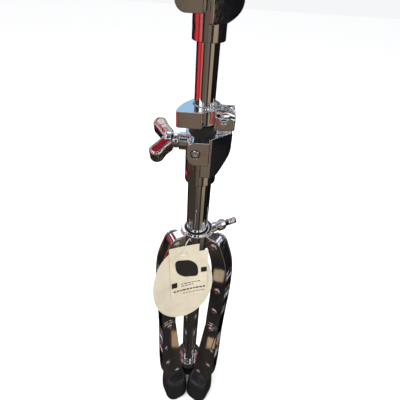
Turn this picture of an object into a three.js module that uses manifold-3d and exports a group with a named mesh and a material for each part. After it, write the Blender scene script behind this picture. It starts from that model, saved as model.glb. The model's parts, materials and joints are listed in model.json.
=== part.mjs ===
// A folding double-braced tripod stand for a hi-hat, in its folded state.
// Millimetres, +Z up. The origin is the centre of the flat lower face of the base tube's end cap.
// Three legs hang from a sliding collar and are held out by three struts from a fixed lower collar.
// Every leg and strut is a pair of flat strips, so a leg group is written once and turned about Z.

import * as THREE from 'three';
import { mergeVertices } from 'three/addons/utils/BufferGeometryUtils.js';
import Module from 'manifold-3d';

const wasm = await Module();
wasm.setup();

// Clearances
const REST_GAP = 0.3; // between faces that rest on each other
const SLIDE_GAP = 0.45; // round a tube that slides in a bushing, on the radius
const NARROW_SLIDE_GAP = 0.2; // the same round the upper tube
const PIN_GAP = 0.45; // round a pin or rivet, on the radius
const SIDE_GAP = 0.5; // between a strip and what it turns against

// Tubes and rod
const BASE_TUBE_RADIUS = 12.7;
const BASE_TUBE_WALL = 1.5;
const BASE_TUBE_LENGTH = 502;
const MIDDLE_TUBE_RADIUS = 9.525;
const MIDDLE_TUBE_WALL = 1.2;
const MIDDLE_TUBE_LENGTH = 500;
const MIDDLE_TUBE_SHOWN = 98; // above the lower memory lock's bottom
const UPPER_TUBE_RADIUS = 7.1;
const UPPER_TUBE_WALL = 1.2;
const UPPER_TUBE_LENGTH = 520;
const ROD_RADIUS = 3.2;
const ROD_LENGTH = 660;
const BUSHING_WALL = 1.0;

// End cap of the base tube
const CAP_FLANGE = 4;
const CAP_PLUG = 12;

// Folding linkage: both pins of an arm pair lie on HINGE_RADIUS, and the rivet lies midway in height
const HINGE_RADIUS = 30;
const ARM_RISE = 180;
const ARM_REACH = 13;
const STRUT_PIN_Z = 14;
const LEG_AZIMUTHS = { right: -30, rear: 90, left: 210 }; // degrees
const LEG_END_WIDTH = 20;
const LEG_WIDTH = 22; // between the spacer and the rivet
const LEG_FOOT_WIDTH = 19;
const LEG_HALF_THICKNESS = 9; // outer face of a leg's strips, from its mid-plane
const STRIP_THICKNESS = 2;
const STRUT_WIDTH = 21;
const PIN_RADIUS = 3;
const PIN_HEAD_RADIUS = 5.2;
const PIN_HEAD_HEIGHT = 1.8;
const BEND_DROP = 50; // height over which a leg bends out from its top pin
const FLARE = 3; // how far a leg stands out beyond the rivet, beside the strut collar
const SPACER_DROP = 80; // spacer below the top pin
const SPACER_RADIUS = 4.5;
const FOOT_BEND_Z = 10; // a leg turns inwards below this height

// Rubber feet
const FOOT_RADIUS = 31; // centre of a foot from the axis
const FOOT_WIDTH = 50;
const FOOT_DEPTH = 44;
const FOOT_CORNER = 15;
const FOOT_HEIGHT = 76;
const FOOT_BOTTOM = -104;
const FOOT_BEVEL = 7;
const SOCKET_DEPTH = 44;

// Collars
const COLLAR_HEIGHT = 26;
const COLLAR_WALL = 4.6;
const COLLAR_LUG_RADIUS = 8;
const STRUT_COLLAR_HEIGHT = 20;
const STRUT_COLLAR_WALL = 5;
const STRUT_LUG_RADIUS = 7;

// Tube clamps: a sleeve on the lower tube, and a block with a lobe on one side above it
const BOLT_SHAFT = 9; // threaded length of a clamp's wing bolt, inside its ear
const LOWER_CLAMP = {
  wall: 3.2, sleeve: 32, height: 24, front: 26, left: 13.5, right: 7, corner: 8, reach: 29,
  lobeFront: 18, lobeFlat: 9, lobeBack: 12, boltY: -6, earRadius: 8.5,
  ear: BASE_TUBE_RADIUS + REST_GAP + BOLT_SHAFT,
};
const UPPER_CLAMP = {
  wall: 3.7, sleeve: 21, height: 27, front: 22, left: 25, right: -5, corner: 8, reach: 25,
  lobeFront: 15, lobeFlat: 2, lobeBack: 10, boltY: -12, ear: 28, earRadius: 7,
};
const RIM = 8; // height of a clamp block above the end of its tube
const LOWER_WING_TURN = 67; // degrees that each wing bolt is screwed round from upright
const UPPER_WING_TURN = 90;
const COLLAR_WING_TURN = 40;
const LOCK_STAND_OFF = 11; // height of the nylon neck between a clamp and its memory lock
const LOCK_HEIGHT = 15;
const LOCK_WALL = 5.5;
const LOWER_LOCK = { left: 24, slant: 9, gateLeft: 9.7, gateRight: 27.8, front: 21 };
const UPPER_LOCK = { left: 9, right: 15, front: 14, boltX: 8.5 };
const KNUCKLE_RADIUS = 4.5;
const HALF_SPLIT = 0.2;
const KEY_BOLT_RADIUS = 3;
const BUSHING_DEPTH = 34; // of a neck bushing inside its tube

// Cymbal seat, felts and clutch
const SEAT_RADIUS = 27;
const SEAT_THICKNESS = 6;
const FELT_RADIUS = 22;
const FELT_THICKNESS = 10;
const CLUTCH_RADIUS = 7;
const CLUTCH_LENGTH = 62;
const CLUTCH_HEIGHT = 60; // clutch above the seat felt
const CLUTCH_FELT_RADIUS = 17;
const CLUTCH_STEM = 34; // length below the clutch's flange
const SEAT_CLEARANCE = 3.2; // round the rod in the seat, on the radius
const TILT_SCREW_X = 19;
const TILT_KNOB_RADIUS = 7;

// Paper hang tags
const PAPER = 0.7;
const TAG_X = -12;
const TAG_FRONT = 44; // tag hinge, in front of the axis
const TAG_Z = 388;
const TAG_LEAN = 4.5; // degrees
const EYELET_RADIUS = 3;
const TIE_BAR_FRONT = 4; // back face of the tie's cross-bar, in front of the tag hinge
const OVAL_HALF_WIDTH = 37;
const OVAL_HALF_HEIGHT = 63;
const CARD_LEFT = 17; // card edges, from the eyelet
const CARD_RIGHT = 28;
const CARD_STEP = 17.5;
const CARD_HEIGHT = 84;
const TAG_TURN = 20; // degrees that the tags are turned about Z, left side forward

// Heights that follow from the sizes above
const LUG_HALF_THICKNESS = LEG_HALF_THICKNESS - STRIP_THICKNESS - SIDE_GAP;
const RIVET_RADIUS = HINGE_RADIUS + ARM_REACH;
const RIVET_Z = STRUT_PIN_Z + ARM_RISE;
const COLLAR_PIN_Z = RIVET_Z + ARM_RISE;
const BASE_TUBE_BOTTOM = CAP_FLANGE + REST_GAP;
const BASE_TUBE_TOP = BASE_TUBE_BOTTOM + BASE_TUBE_LENGTH;
const LOWER_BLOCK_TOP = BASE_TUBE_TOP + RIM;
const LOWER_BLOCK_BOTTOM = LOWER_BLOCK_TOP - LOWER_CLAMP.height;
const LOWER_LOCK_BOTTOM = LOWER_BLOCK_TOP + LOCK_STAND_OFF;
const MIDDLE_TUBE_TOP = LOWER_LOCK_BOTTOM + MIDDLE_TUBE_SHOWN;
const MIDDLE_TUBE_BOTTOM = MIDDLE_TUBE_TOP - MIDDLE_TUBE_LENGTH;
const UPPER_BLOCK_BOTTOM = MIDDLE_TUBE_TOP - 10;
const UPPER_BLOCK_TOP = UPPER_BLOCK_BOTTOM + UPPER_CLAMP.height;
const UPPER_LOCK_BOTTOM = UPPER_BLOCK_TOP + LOCK_STAND_OFF;
const UPPER_TUBE_TOP = UPPER_LOCK_BOTTOM + 50;
const UPPER_TUBE_BOTTOM = UPPER_TUBE_TOP - UPPER_TUBE_LENGTH;
const SEAT_Z = UPPER_TUBE_TOP + 14;
const FELT_Z = SEAT_Z + SEAT_THICKNESS + REST_GAP;
const CLUTCH_Z = FELT_Z + FELT_THICKNESS + CLUTCH_HEIGHT;
const ROD_TOP = CLUTCH_Z + 170;

const QUARTER = Math.PI / 2;
const radians = THREE.MathUtils.degToRad;

// Materials
const chrome = new THREE.MeshStandardMaterial({ color: 0xd4d7da, roughness: 0.08, metalness: 1 });
const castChrome = new THREE.MeshStandardMaterial({ color: 0xc6c9cc, roughness: 0.14, metalness: 1 });
const nylon = new THREE.MeshStandardMaterial({ color: 0x121213, roughness: 0.45, metalness: 0 });
const rubber = new THREE.MeshStandardMaterial({ color: 0x17181a, roughness: 0.7, metalness: 0 });
const felt = new THREE.MeshStandardMaterial({ color: 0x5c5c5e, roughness: 1, metalness: 0 });
const paper = new THREE.MeshStandardMaterial({ color: 0xefece2, roughness: 0.9, metalness: 0 });
const elastic = new THREE.MeshStandardMaterial({ color: 0xdad8d0, roughness: 0.7, metalness: 0 });

// ---- solids ----

function signedVolume(geometry) {
  const p = geometry.attributes.position;
  const index = geometry.index.array;
  const corner = [new THREE.Vector3(), new THREE.Vector3(), new THREE.Vector3()];
  let sum = 0;
  for (let i = 0; i < index.length; i += 3) {
    corner.forEach((v, k) => v.fromBufferAttribute(p, index[i + k]));
    sum += corner[0].dot(corner[1].clone().cross(corner[2]));
  }
  return sum;
}

// Merged copy of a closed geometry, with its faces pointing out
function closed(geometry) {
  const bare = geometry.clone();
  for (const name of Object.keys(bare.attributes)) {
    if (name !== 'position') bare.deleteAttribute(name);
  }
  const merged = mergeVertices(bare, 1e-4);
  const index = Array.from(merged.index.array);
  const kept = [];
  for (let i = 0; i < index.length; i += 3) {
    const [a, b, c] = index.slice(i, i + 3);
    if (a !== b && b !== c && c !== a) kept.push(a, b, c);
  }
  merged.setIndex(kept);
  if (signedVolume(merged) < 0) {
    const turned = [];
    for (let i = 0; i < kept.length; i += 3) turned.push(kept[i], kept[i + 2], kept[i + 1]);
    merged.setIndex(turned);
  }
  return merged;
}

function toSolid(geometry) {
  const g = closed(geometry);
  return new wasm.Manifold(new wasm.Mesh({
    numProp: 3,
    vertProperties: new Float32Array(g.attributes.position.array),
    triVerts: new Uint32Array(g.index.array),
  }));
}

function toGeometry(solid) {
  const mesh = solid.getMesh();
  const geometry = new THREE.BufferGeometry();
  geometry.setAttribute('position', new THREE.BufferAttribute(new Float32Array(mesh.vertProperties), 3));
  geometry.setIndex(Array.from(mesh.triVerts));
  return geometry;
}

function join(...geometries) {
  return toGeometry(geometries.map(toSolid).reduce((a, b) => a.add(b)));
}

function common(a, b) {
  return toGeometry(toSolid(a).intersect(toSolid(b)));
}

function cut(geometry, ...tools) {
  return toGeometry(tools.map(toSolid).reduce((a, b) => a.subtract(b), toSolid(geometry)));
}

function at(geometry, x, y, z) {
  return geometry.clone().translate(x, y, z);
}

// Solid turned about Z from [radius, height] points
function turned(points, segments = 24) {
  const profile = points.map(([r, z]) => new THREE.Vector2(r, z));
  return new THREE.LatheGeometry(profile, segments).rotateX(QUARTER);
}

function cylinder(radius, bottom, top, segments = 24) {
  return turned([[0, bottom], [radius, bottom], [radius, top], [0, top]], segments);
}

function ring(inner, outer, bottom, top, segments = 24) {
  const profile = [[inner, bottom], [outer, bottom], [outer, top], [inner, top], [inner, bottom]];
  return turned(profile, segments);
}

function alongX(geometry) {
  return geometry.clone().rotateY(QUARTER);
}

function alongY(geometry) {
  return geometry.clone().rotateX(-QUARTER);
}

function block(x0, x1, y0, y1, z0, z1) {
  const box = new THREE.BoxGeometry(x1 - x0, y1 - y0, z1 - z0);
  return box.translate((x0 + x1) / 2, (y0 + y1) / 2, (z0 + z1) / 2);
}

function roundedRectangle(width, height, radius) {
  const [w, h] = [width / 2, height / 2];
  const shape = new THREE.Shape();
  shape.absarc(w - radius, h - radius, radius, 0, QUARTER);
  shape.absarc(-w + radius, h - radius, radius, QUARTER, 2 * QUARTER);
  shape.absarc(-w + radius, -h + radius, radius, 2 * QUARTER, 3 * QUARTER);
  shape.absarc(w - radius, -h + radius, radius, 3 * QUARTER, 4 * QUARTER);
  return shape;
}

// Extruded up from a shape in XY
function upright(shape, bottom, top, curveSegments = 6) {
  const settings = { depth: top - bottom, bevelEnabled: false, curveSegments };
  return new THREE.ExtrudeGeometry(shape, settings).translate(0, 0, bottom);
}

// Flat piece whose shape is drawn in XZ, between two Y values
function plate(shape, y0, y1, curveSegments = 8) {
  const settings = { depth: y1 - y0, bevelEnabled: false, curveSegments };
  return new THREE.ExtrudeGeometry(shape, settings).rotateX(QUARTER).translate(0, y1, 0);
}

function holePath(x, z, radius) {
  const path = new THREE.Path();
  path.absarc(x, z, radius, 0, 4 * QUARTER, true);
  return path;
}

// Outline of a strip along a smooth centreline of [x, z, width] points, with round ends
function stripShape(centreline, samples) {
  const points = centreline.map(([x, z, width]) => new THREE.Vector3(x, z, width / 2));
  const curve = new THREE.CatmullRomCurve3(points, false, 'centripetal');
  const endSteps = 5;
  const outline = [];
  const along = (u) => {
    const run = curve.getTangent(u);
    return [curve.getPoint(u), new THREE.Vector2(run.x, run.y).normalize()];
  };
  const side = (sign, from, to) => {
    for (let i = 0; i <= samples; i += 1) {
      const [p, t] = along(from + (to - from) * (i / samples));
      outline.push(new THREE.Vector2(p.x - sign * t.y * p.z, p.y + sign * t.x * p.z));
    }
  };
  const roundEnd = (u, sign) => {
    const [p, t] = along(u);
    const start = Math.atan2(t.x * sign, -t.y * sign);
    for (let i = 1; i < endSteps; i += 1) {
      const angle = start - (i / endSteps) * 2 * QUARTER;
      outline.push(new THREE.Vector2(p.x + Math.cos(angle) * p.z, p.y + Math.sin(angle) * p.z));
    }
  };
  side(1, 0, 1);
  roundEnd(1, 1);
  side(-1, 1, 0);
  roundEnd(0, -1);
  return new THREE.Shape(outline.reverse());
}

const object = new THREE.Group();

function add(parent, name, geometry, material) {
  const mesh = new THREE.Mesh(closed(geometry), material);
  mesh.name = name;
  parent.add(mesh);
  return mesh;
}

function group(parent, x = 0, y = 0, z = 0, turn = 0) {
  const made = new THREE.Group();
  made.position.set(x, y, z);
  made.rotation.z = radians(turn);
  parent.add(made);
  return made;
}

// Headed pin along Y through stacked strips, from -reach to +reach under its heads
function headedPin(reach) {
  const end = reach + PIN_HEAD_HEIGHT;
  const half = [[PIN_HEAD_RADIUS * 0.75, end], [PIN_HEAD_RADIUS, end - 1], [PIN_HEAD_RADIUS, reach]];
  const lower = half.map(([r, y]) => [r, -y]);
  const stem = [[PIN_RADIUS, reach], [PIN_RADIUS, -reach]];
  return alongY(turned([[0, end], ...half, ...stem, ...lower.reverse(), [0, -end]], 12));
}

// Wing bolt along +X: the threaded end starts at x = 0, the wings stand at its far end
function wingBolt({ shaftRadius, shaft, hubRadius, hub, span, reach, thickness }) {
  const end = shaft + hub;
  const body = alongX(turned([
    [0, 0], [shaftRadius, 0], [shaftRadius, shaft], [hubRadius, shaft],
    [hubRadius, end - 2], [hubRadius - 2, end], [0, end],
  ], 12));
  const wing = new THREE.Shape();
  wing.moveTo(shaft + hub * 0.3, -hubRadius * 0.6);
  wing.lineTo(end - 2, -span * 0.62);
  wing.absarc(end + reach * 0.35, -span + 5, 5.5, -2.4, 0.35);
  wing.quadraticCurveTo(end + reach * 0.25, -hubRadius, end - 0.5, 0);
  wing.quadraticCurveTo(end + reach * 0.25, hubRadius, end + reach * 0.35 + 5.2, span - 6.9);
  wing.absarc(end + reach * 0.35, span - 5, 5.5, -0.35, 2.4);
  wing.lineTo(end - 2, span * 0.62);
  wing.lineTo(shaft + hub * 0.3, hubRadius * 0.6);
  return join(body, plate(wing, -thickness / 2, thickness / 2, 5));
}

// ---- base: tube, cap, strut collar ----

function buildBase() {
  const inner = BASE_TUBE_RADIUS - BASE_TUBE_WALL;
  add(object, 'base_tube', ring(inner, BASE_TUBE_RADIUS, BASE_TUBE_BOTTOM, BASE_TUBE_TOP), chrome);
  const plug = inner - REST_GAP;
  const capTop = CAP_FLANGE + CAP_PLUG;
  add(object, 'base_tube_cap', turned([
    [0, 0], [BASE_TUBE_RADIUS, 0], [BASE_TUBE_RADIUS, CAP_FLANGE], [plug, CAP_FLANGE],
    [plug, capTop - 1], [plug - 1, capTop], [0, capTop],
  ]), nylon);

  const hole = BASE_TUBE_RADIUS + REST_GAP;
  const bottom = STRUT_PIN_Z - STRUT_COLLAR_HEIGHT / 2;
  const top = STRUT_PIN_Z + STRUT_COLLAR_HEIGHT / 2;
  const lugs = collarLugs(hole + STRUT_COLLAR_WALL / 2, STRUT_PIN_Z, STRUT_LUG_RADIUS);
  const body = join(cylinder(hole + STRUT_COLLAR_WALL, bottom, top), ...lugs);
  add(object, 'strut_collar', cut(body, cylinder(hole, bottom - 1, top + 1)), castChrome);
}

// Three lugs standing out from a collar to the pins on HINGE_RADIUS
function collarLugs(start, pinZ, radius) {
  const shape = new THREE.Shape();
  shape.moveTo(start, pinZ - radius);
  shape.lineTo(HINGE_RADIUS, pinZ - radius);
  shape.absarc(HINGE_RADIUS, pinZ, radius, -QUARTER, QUARTER);
  shape.lineTo(start, pinZ + radius);
  shape.holes.push(holePath(HINGE_RADIUS, pinZ, PIN_RADIUS + PIN_GAP));
  const lug = plate(shape, -LUG_HALF_THICKNESS, LUG_HALF_THICKNESS, 4);
  return Object.values(LEG_AZIMUTHS).map((azimuth) => lug.clone().rotateZ(radians(azimuth)));
}

// ---- legs, struts and feet ----

function legCentreline() {
  return [
    [HINGE_RADIUS, COLLAR_PIN_Z, LEG_END_WIDTH],
    [HINGE_RADIUS + ARM_REACH * 0.68, COLLAR_PIN_Z - BEND_DROP * 0.5, LEG_END_WIDTH + 1],
    [RIVET_RADIUS, COLLAR_PIN_Z - BEND_DROP * 1.25, LEG_WIDTH - 1],
    [RIVET_RADIUS, RIVET_Z, LEG_WIDTH],
    [RIVET_RADIUS + FLARE, FOOT_BEND_Z, LEG_FOOT_WIDTH + 1],
    [FOOT_RADIUS + 7, FOOT_BOTTOM + FOOT_HEIGHT, LEG_FOOT_WIDTH],
    [FOOT_RADIUS + 2, FOOT_BOTTOM + FOOT_HEIGHT - SOCKET_DEPTH + 10, LEG_FOOT_WIDTH],
  ];
}

function stripPair(parent, name, shape, outer) {
  const inner = outer - STRIP_THICKNESS;
  add(parent, `${name}_strip_a`, plate(shape, inner, outer, 6), chrome);
  add(parent, `${name}_strip_b`, plate(shape, -outer, -inner, 6), chrome);
}

function buildFoot(parent, side) {
  const corner = FOOT_CORNER - FOOT_BEVEL / 2;
  const outline = roundedRectangle(FOOT_DEPTH - 2 * FOOT_BEVEL, FOOT_WIDTH - 2 * FOOT_BEVEL, corner - 2);
  const pad = new THREE.ExtrudeGeometry(outline, {
    depth: FOOT_HEIGHT - 2 * FOOT_BEVEL,
    bevelSize: FOOT_BEVEL,
    bevelThickness: FOOT_BEVEL,
    bevelSegments: 2,
    curveSegments: 3,
  }).translate(FOOT_RADIUS, 0, FOOT_BOTTOM + FOOT_BEVEL);
  const room = 2 * REST_GAP + 0.4;
  const socket = stripShape(legCentreline().slice(-3).map(([x, z, width]) => [x, z, width + room]), 6);
  const slot = LEG_HALF_THICKNESS + REST_GAP;
  const inside = slot - STRIP_THICKNESS - 2 * REST_GAP;
  add(parent, `leg_${side}_foot`, cut(
    pad,
    plate(socket, inside, slot, 6),
    plate(socket, -slot, -inside, 6),
  ), rubber);
}

function buildLeg(side) {
  const leg = group(object, 0, 0, 0, LEG_AZIMUTHS[side]);
  const hole = PIN_RADIUS + PIN_GAP;

  const legShape = stripShape(legCentreline(), 13);
  const spacerZ = COLLAR_PIN_Z - SPACER_DROP;
  for (const [x, z] of [[HINGE_RADIUS, COLLAR_PIN_Z], [RIVET_RADIUS, RIVET_Z], [RIVET_RADIUS, spacerZ]]) {
    legShape.holes.push(holePath(x, z, hole));
  }
  stripPair(leg, `leg_${side}`, legShape, LEG_HALF_THICKNESS);
  buildFoot(leg, side);

  const strutOuter = LEG_HALF_THICKNESS + SIDE_GAP + STRIP_THICKNESS;
  const strutShape = stripShape([
    [HINGE_RADIUS, STRUT_PIN_Z, STRUT_WIDTH],
    [RIVET_RADIUS, RIVET_Z, STRUT_WIDTH],
  ], 1);
  strutShape.holes.push(holePath(HINGE_RADIUS, STRUT_PIN_Z, hole));
  strutShape.holes.push(holePath(RIVET_RADIUS, RIVET_Z, hole));
  stripPair(leg, `strut_${side}`, strutShape, strutOuter);

  const topReach = LEG_HALF_THICKNESS + REST_GAP;
  const strutReach = strutOuter + REST_GAP;
  add(leg, `leg_${side}_top_pin`, at(headedPin(topReach), HINGE_RADIUS, 0, COLLAR_PIN_Z), chrome);
  add(leg, `leg_${side}_rivet`, at(headedPin(strutReach), RIVET_RADIUS, 0, RIVET_Z), chrome);
  add(leg, `strut_${side}_pin`, at(headedPin(strutReach), HINGE_RADIUS, 0, STRUT_PIN_Z), chrome);

  const barrel = LEG_HALF_THICKNESS - STRIP_THICKNESS - REST_GAP;
  const sleeve = alongY(cylinder(SPACER_RADIUS, -barrel, barrel, 12));
  add(leg, `leg_${side}_spacer`, at(join(headedPin(topReach), sleeve), RIVET_RADIUS, 0, spacerZ), chrome);
}

// ---- sliding leg collar ----

const COLLAR_BORE = BASE_TUBE_RADIUS + SLIDE_GAP;
const COLLAR_RING_INNER = COLLAR_BORE + BUSHING_WALL + REST_GAP;
const COLLAR_RING_OUTER = COLLAR_RING_INNER + COLLAR_WALL;
const COLLAR_WING_AZIMUTH = 30;
const COLLAR_BOSS_RADIUS = 6.5;
const COLLAR_BOSS_END = COLLAR_RING_OUTER + 8;
const WING_BOLT_RADIUS = 3;

function buildCollar() {
  const bottom = COLLAR_PIN_Z - COLLAR_HEIGHT / 2;
  const top = COLLAR_PIN_Z + COLLAR_HEIGHT / 2 - 2;
  const lugs = collarLugs(COLLAR_RING_INNER + 2, COLLAR_PIN_Z, COLLAR_LUG_RADIUS);
  const turn = radians(COLLAR_WING_AZIMUTH);
  const boss = alongX(cylinder(COLLAR_BOSS_RADIUS, COLLAR_RING_INNER + 1, COLLAR_BOSS_END, 12));
  const thread = alongX(cylinder(WING_BOLT_RADIUS + PIN_GAP, COLLAR_BORE, COLLAR_BOSS_END + 1, 12));
  const body = join(
    cylinder(COLLAR_RING_OUTER, bottom, top),
    ...lugs,
    at(boss, 0, 0, COLLAR_PIN_Z).rotateZ(turn),
  );
  add(object, 'leg_collar', cut(
    body,
    cylinder(COLLAR_RING_INNER, bottom - 1, top + 1),
    at(thread, 0, 0, COLLAR_PIN_Z).rotateZ(turn),
  ), castChrome);
  add(object, 'leg_collar_bushing', ring(COLLAR_BORE, COLLAR_BORE + BUSHING_WALL, bottom, top), nylon);

  const wing = group(object, 0, 0, COLLAR_PIN_Z, COLLAR_WING_AZIMUTH);
  const bolt = wingBolt({
    shaftRadius: WING_BOLT_RADIUS,
    shaft: COLLAR_BOSS_END + REST_GAP - COLLAR_RING_INNER,
    hubRadius: 6,
    hub: 13,
    span: 17,
    reach: 13,
    thickness: 5,
  });
  const screwed = bolt.rotateX(radians(COLLAR_WING_TURN));
  add(wing, 'leg_collar_wing_bolt', at(screwed, COLLAR_RING_INNER, 0, 0), castChrome);
}

// ---- hang tags ----

function buildTags() {
  const tags = group(group(object, TAG_X, -TAG_FRONT, TAG_Z, TAG_TURN));
  tags.rotation.x = -radians(TAG_LEAN);

  const oval = new THREE.Shape();
  oval.absellipse(-2, -OVAL_HALF_HEIGHT + 5, OVAL_HALF_WIDTH, OVAL_HALF_HEIGHT, 0, 4 * QUARTER);
  oval.holes.push(holePath(0, 0, EYELET_RADIUS));
  add(tags, 'hang_tag_oval', plate(oval, 0, PAPER, 12), paper);

  const card = new THREE.Shape();
  card.moveTo(-CARD_LEFT, 8);
  card.lineTo(-CARD_LEFT, 8 - CARD_HEIGHT);
  card.lineTo(CARD_RIGHT, 8 - CARD_HEIGHT);
  card.lineTo(CARD_RIGHT, -3);
  card.lineTo(CARD_STEP, -3);
  card.lineTo(CARD_STEP, 8);
  card.holes.push(holePath(0, 0, EYELET_RADIUS));
  const cardY = -PAPER - REST_GAP;
  add(tags, 'hang_tag_card', plate(card, cardY, cardY + PAPER, 4), paper);

  // A thin loop from the collar, through the eyelets, with a cross-bar in front
  const from = -(COLLAR_RING_OUTER + REST_GAP + 0.4);
  const route = new THREE.CatmullRomCurve3([
    new THREE.Vector3(TAG_X + 6, from, COLLAR_PIN_Z + 6),
    new THREE.Vector3(TAG_X + 5, from - 5, COLLAR_PIN_Z + 15),
    new THREE.Vector3(TAG_X + 1, -TAG_FRONT + 6, TAG_Z + 3),
    new THREE.Vector3(TAG_X, -TAG_FRONT + 1.5, TAG_Z),
    new THREE.Vector3(TAG_X, -TAG_FRONT - TIE_BAR_FRONT - 0.5, TAG_Z - 0.2),
  ]);
  const section = new THREE.Shape().absarc(0, 0, 0.7, 0, 4 * QUARTER);
  const loop = new THREE.ExtrudeGeometry(section, { steps: 12, curveSegments: 2, extrudePath: route });
  const barBack = -TAG_FRONT - TIE_BAR_FRONT;
  const bar = block(TAG_X - 3.5, TAG_X + 3.5, barBack - 1.4, barBack, TAG_Z - 0.9, TAG_Z + 0.5);
  add(object, 'hang_tag_tie', join(loop, bar), elastic);
}

// ---- tube clamps and memory locks ----

// Shape, seen from above, of a lock block in front of the tube; its left side can slant back inwards
function padShape(x0, x1, front, slant = 0) {
  const shape = new THREE.Shape();
  const r = 2.5;
  shape.moveTo(x0 + slant, 2 + slant * 0.4);
  shape.quadraticCurveTo(x0 + slant * 0.1, -front * 0.3, x0, -front + r);
  shape.absarc(x0 + r, -front + r, r, 2 * QUARTER, 3 * QUARTER);
  shape.absarc(x1 - r, -front + r, r, 3 * QUARTER, 4 * QUARTER);
  shape.lineTo(x1, 2);
  return shape;
}

// Side lobe, drawn in XZ: full height at the block, running down onto the sleeve
function lobeShape(reach, bottom, top, sleeveEnd, sleeveRadius) {
  const shape = new THREE.Shape();
  shape.moveTo(0, top);
  shape.lineTo(reach - 5, top);
  shape.absarc(reach - 5, top - 5, 5, QUARTER, 0, true);
  shape.lineTo(reach, bottom + 5);
  shape.quadraticCurveTo(reach - 1, bottom - 3, sleeveRadius, sleeveEnd);
  shape.lineTo(0, sleeveEnd);
  return shape;
}

// Shape, seen from above, of a lobe whose front runs back from the pad to its outer end
function lobePlan(reach, front, flat, back) {
  const shape = new THREE.Shape();
  shape.moveTo(0, -front);
  shape.lineTo(flat, -front);
  shape.lineTo(reach - 1.5, -1.5);
  shape.quadraticCurveTo(reach, 1, reach, 3);
  shape.quadraticCurveTo(reach - 1, back, reach * 0.55, back);
  shape.lineTo(0, back);
  return shape;
}

// Front pad, drawn in XZ, with a round left end
function frontShape(x0, x1, z0, z1, radius) {
  const shape = new THREE.Shape();
  shape.moveTo(x1, z0);
  shape.lineTo(x1, z1);
  shape.lineTo(x0 + radius, z1);
  shape.absarc(x0 + radius, z1 - radius, radius, QUARTER, 2 * QUARTER);
  shape.absarc(x0 + radius, z0 + radius, radius, 2 * QUARTER, 3 * QUARTER);
  return shape;
}

const LOWER_BOLT_Z = LOWER_BLOCK_BOTTOM + 14.5;
const LOWER_SCREW = { x: -5.6, z: LOWER_BLOCK_BOTTOM + 12 };
const UPPER_BOLT_Z = UPPER_BLOCK_BOTTOM + 14;
const SCREW_RADIUS = 4;
const SCREW_HEAD = 3.4;

// Sleeve, front pad, side lobe and ear of a clamp, with its bore and the wing bolt's hole
function clampCasting(clamp, tubeRadius, bottom, padBottom, lobeEnd, boltZ) {
  const bore = tubeRadius + REST_GAP;
  const outer = bore + clamp.wall;
  const top = bottom + clamp.height;
  const sleeveEnd = bottom - clamp.sleeve;
  const deep = 20;
  const lobe = plate(lobeShape(clamp.reach, bottom, top, lobeEnd, outer), -deep, deep, 5);
  const plan = upright(
    lobePlan(clamp.reach, clamp.lobeFront, clamp.lobeFlat, clamp.lobeBack), sleeveEnd, top, 4,
  );
  const pad = frontShape(-clamp.left, clamp.right, padBottom, top, clamp.corner);
  const shaft = cylinder(WING_BOLT_RADIUS + PIN_GAP, -clamp.ear - 1, -clamp.ear + BOLT_SHAFT + 1, 12);
  return cut(
    join(
      cylinder(outer, sleeveEnd, top),
      plate(pad, -clamp.front, 0, 4),
      common(lobe, plan),
      at(alongX(cylinder(clamp.earRadius, -clamp.ear, 0, 14)), 0, clamp.boltY, boltZ),
    ),
    cylinder(bore, sleeveEnd - 1, top + 1),
    at(alongX(shaft), 0, clamp.boltY, boltZ),
  );
}

function buildLowerClamp() {
  const clamp = LOWER_CLAMP;
  const lobeEnd = LOWER_BLOCK_BOTTOM - clamp.sleeve * 0.6;
  const casting = clampCasting(
    clamp, BASE_TUBE_RADIUS, LOWER_BLOCK_BOTTOM, LOWER_BLOCK_BOTTOM, lobeEnd, LOWER_BOLT_Z,
  );
  const face = -clamp.front;
  const seat = alongY(cylinder(SCREW_RADIUS + REST_GAP + 0.2, face - 1, face + SCREW_HEAD, 12));
  add(object, 'lower_clamp_casting', cut(casting, at(seat, LOWER_SCREW.x, 0, LOWER_SCREW.z)), castChrome);

  const back = face + SCREW_HEAD - REST_GAP;
  const head = alongY(turned([
    [0, back], [SCREW_RADIUS, back], [SCREW_RADIUS, face + 0.8], [SCREW_RADIUS - 0.8, face], [0, face],
  ], 12));
  const key = 1.4;
  const socket = block(-key, key, face - 1, face + 1.5, -key, key);
  add(object, 'lower_clamp_screw', at(cut(head, socket), LOWER_SCREW.x, 0, LOWER_SCREW.z), chrome);

  buildBushing('lower_clamp_bushing', {
    tubeRadius: BASE_TUBE_RADIUS,
    wall: BASE_TUBE_WALL,
    bore: MIDDLE_TUBE_RADIUS + SLIDE_GAP,
    tubeTop: BASE_TUBE_TOP,
    lockBottom: LOWER_LOCK_BOTTOM,
  });

  const wing = group(object, -clamp.ear + BOLT_SHAFT, clamp.boltY, LOWER_BOLT_Z, 180);
  const bolt = wingBolt({
    shaftRadius: WING_BOLT_RADIUS,
    shaft: BOLT_SHAFT + REST_GAP,
    hubRadius: 7,
    hub: 14,
    span: 21,
    reach: 15,
    thickness: 11,
  });
  add(wing, 'lower_clamp_wing_bolt', bolt.rotateX(radians(LOWER_WING_TURN)), castChrome);
}

// Nylon bushing: a sleeve inside the lower tube, and a neck that stands up to the memory lock
function buildBushing(name, { tubeRadius, wall, bore, tubeTop, lockBottom }) {
  const outer = tubeRadius - wall - REST_GAP;
  const neck = tubeRadius - 0.2;
  const foot = tubeTop + REST_GAP;
  const top = lockBottom - REST_GAP;
  add(object, name, turned([
    [bore, tubeTop - BUSHING_DEPTH], [outer, tubeTop - BUSHING_DEPTH], [outer, foot], [neck, foot],
    [neck, top - 1], [neck - 1, top], [bore, top], [bore, tubeTop - BUSHING_DEPTH],
  ]), nylon);
}

const GATE_PIVOT_Y = 17.5;
const LOCK_BOLT_X = 17.4;

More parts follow.
